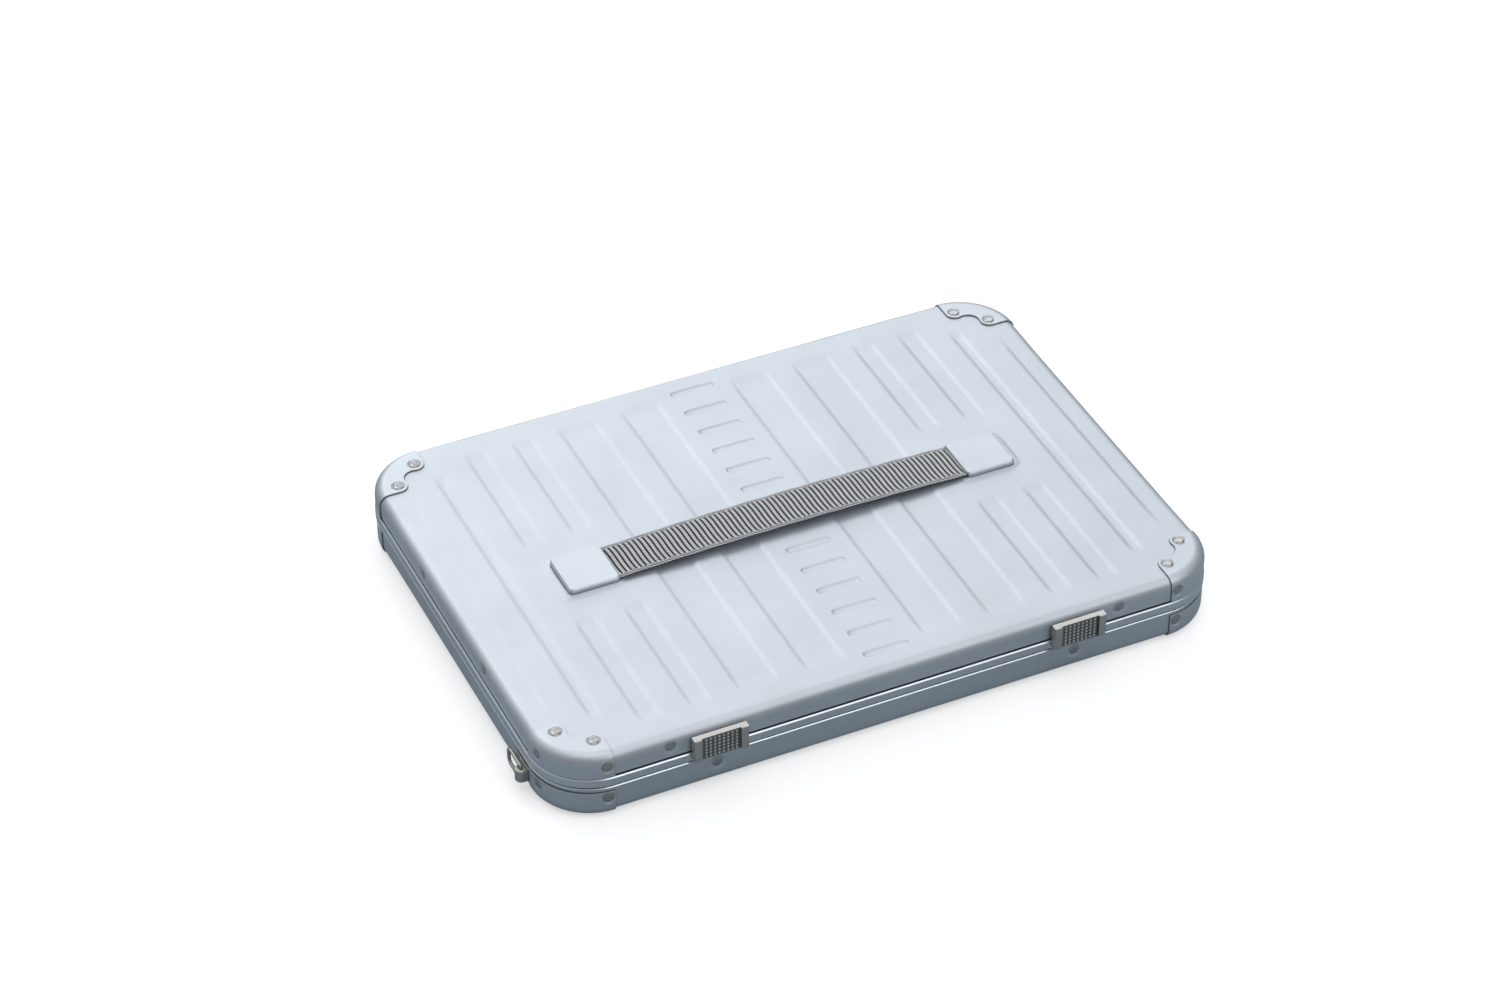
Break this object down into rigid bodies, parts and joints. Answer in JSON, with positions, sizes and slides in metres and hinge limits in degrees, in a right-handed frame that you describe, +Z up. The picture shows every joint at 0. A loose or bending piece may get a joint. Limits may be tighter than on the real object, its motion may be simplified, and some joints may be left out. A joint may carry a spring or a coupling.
{
  "type": "carry case",
  "caption": "Slim ribbed aluminium carry case with riveted corner caps, sliding latches, a webbing hand strap across the lid and swivelling shoulder strap rings.",
  "frame": {"origin": "middle of the plan, on the plane the four lower corner caps rest on", "axes": "+X to the right along the long side, +Y from the latches to the hinges, +Z up"},
  "size_m": [0.3626, 0.2618, 0.0402],
  "materials": {
    "panel_aluminium": "satin",
    "frame_aluminium": "satin",
    "cap_aluminium": "satin",
    "rivet_metal": "polished",
    "nickel": "satin",
    "hinge_steel": "satin",
    "spring_steel": "polished",
    "webbing": "woven",
    "lining": "felt",
    "seal_rubber": "matte"
  },
  "bodies": {
    "base": {"base_shell": "panel_aluminium", "base_frame": "frame_aluminium", "base_liner": "lining", "base_corner_front_left": "cap_aluminium", "base_corner_front_right": "cap_aluminium", "base_corner_rear_left": "cap_aluminium", "base_corner_rear_right": "cap_aluminium", "base_corner_rivets": "rivet_metal", "base_corner_wall_rivets": "rivet_metal", "base_frame_rivets": "rivet_metal", "base_hinge_rivets": "rivet_metal", "hinge_base_leaf_left": "hinge_steel", "hinge_base_leaf_right": "hinge_steel", "hinge_pin_left": "hinge_steel", "hinge_pin_right": "hinge_steel", "latch_keeper_left": "hinge_steel", "latch_keeper_right": "hinge_steel", "ring_bracket_left": "nickel", "ring_bracket_right": "nickel", "ring_bracket_rivets": "nickel", "base_stay_studs": "hinge_steel"},
    "lid": {"lid_shell": "panel_aluminium", "lid_frame": "frame_aluminium", "lid_seal": "seal_rubber", "lid_liner": "lining", "lid_corner_front_left": "cap_aluminium", "lid_corner_front_right": "cap_aluminium", "lid_corner_rear_left": "cap_aluminium", "lid_corner_rear_right": "cap_aluminium", "lid_corner_rivets": "rivet_metal", "lid_corner_wall_rivets": "rivet_metal", "lid_frame_rivets": "rivet_metal", "lid_hinge_rivets": "rivet_metal", "hand_strap": "webbing", "strap_plate_left": "cap_aluminium", "strap_plate_right": "cap_aluminium", "strap_backing_plates": "hinge_steel", "strap_plate_rivets": "rivet_metal", "latch_spring_posts": "nickel", "latch_spring_left": "spring_steel", "latch_spring_right": "spring_steel", "lid_stay_studs": "hinge_steel", "hinge_lid_leaf_left": "hinge_steel", "hinge_lid_leaf_right": "hinge_steel"},
    "latch_left": {"latch_thumb_left": "nickel", "latch_bolt_left": "hinge_steel"},
    "ring_left": {"shoulder_ring_left": "nickel"},
    "stay_lower_left": {"stay_lower_link_left": "hinge_steel"},
    "stay_upper_left": {"stay_upper_link_left": "hinge_steel", "stay_knee_rivet_left": "hinge_steel"},
    "latch_right": {"latch_thumb_right": "nickel", "latch_bolt_right": "hinge_steel"},
    "ring_right": {"shoulder_ring_right": "nickel"},
    "stay_lower_right": {"stay_lower_link_right": "hinge_steel"},
    "stay_upper_right": {"stay_upper_link_right": "hinge_steel", "stay_knee_rivet_right": "hinge_steel"}
  },
  "joints": [
    {"name": "lid_hinge", "type": "hinge", "parent": "base", "child": "lid", "pos_m": [0, 0.12895, 0.01835], "axis": [-1, 0, 0], "range_deg": [0, 100]},
    {"name": "latch_left_slide", "type": "slide", "parent": "lid", "child": "latch_left", "axis": [-1, 0, 0], "range_m": [0, 0.006], "stiffness_N_per_m": 60, "deforming": ["latch_spring_left"]},
    {"name": "ring_left_swing", "type": "hinge", "parent": "base", "child": "ring_left", "pos_m": [-0.1783, -0.092, 0.0098], "axis": [0, 0, 1], "range_deg": [0, 165]},
    {"name": "stay_left_base_pivot", "type": "hinge", "parent": "base", "child": "stay_lower_left", "pos_m": [-0.1678, 0.094, 0.012], "axis": [-1, 0, 0], "range_deg": [0, 100]},
    {"name": "stay_left_knee", "type": "hinge", "parent": "stay_lower_left", "child": "stay_upper_left", "pos_m": [-0.1672, 0.04905, 0.01865], "axis": [-1, 0, 0], "range_deg": [-100, 0]},
    {"name": "latch_right_slide", "type": "slide", "parent": "lid", "child": "latch_right", "axis": [1, 0, 0], "range_m": [0, 0.006], "stiffness_N_per_m": 60, "deforming": ["latch_spring_right"]},
    {"name": "ring_right_swing", "type": "hinge", "parent": "base", "child": "ring_right", "pos_m": [0.1783, -0.092, 0.0098], "axis": [0, 0, -1], "range_deg": [0, 165]},
    {"name": "stay_right_base_pivot", "type": "hinge", "parent": "base", "child": "stay_lower_right", "pos_m": [0.1678, 0.094, 0.012], "axis": [-1, 0, 0], "range_deg": [0, 100]},
    {"name": "stay_right_knee", "type": "hinge", "parent": "stay_lower_right", "child": "stay_upper_right", "pos_m": [0.1672, 0.04905, 0.01865], "axis": [-1, 0, 0], "range_deg": [-100, 0]}
  ],
  "couplings": [
    {"joint": "stay_left_base_pivot", "follows": "lid_hinge", "ratio": 1},
    {"joint": "stay_left_knee", "follows": "lid_hinge", "ratio": -1},
    {"joint": "stay_right_base_pivot", "follows": "lid_hinge", "ratio": 1},
    {"joint": "stay_right_knee", "follows": "lid_hinge", "ratio": -1}
  ]
}
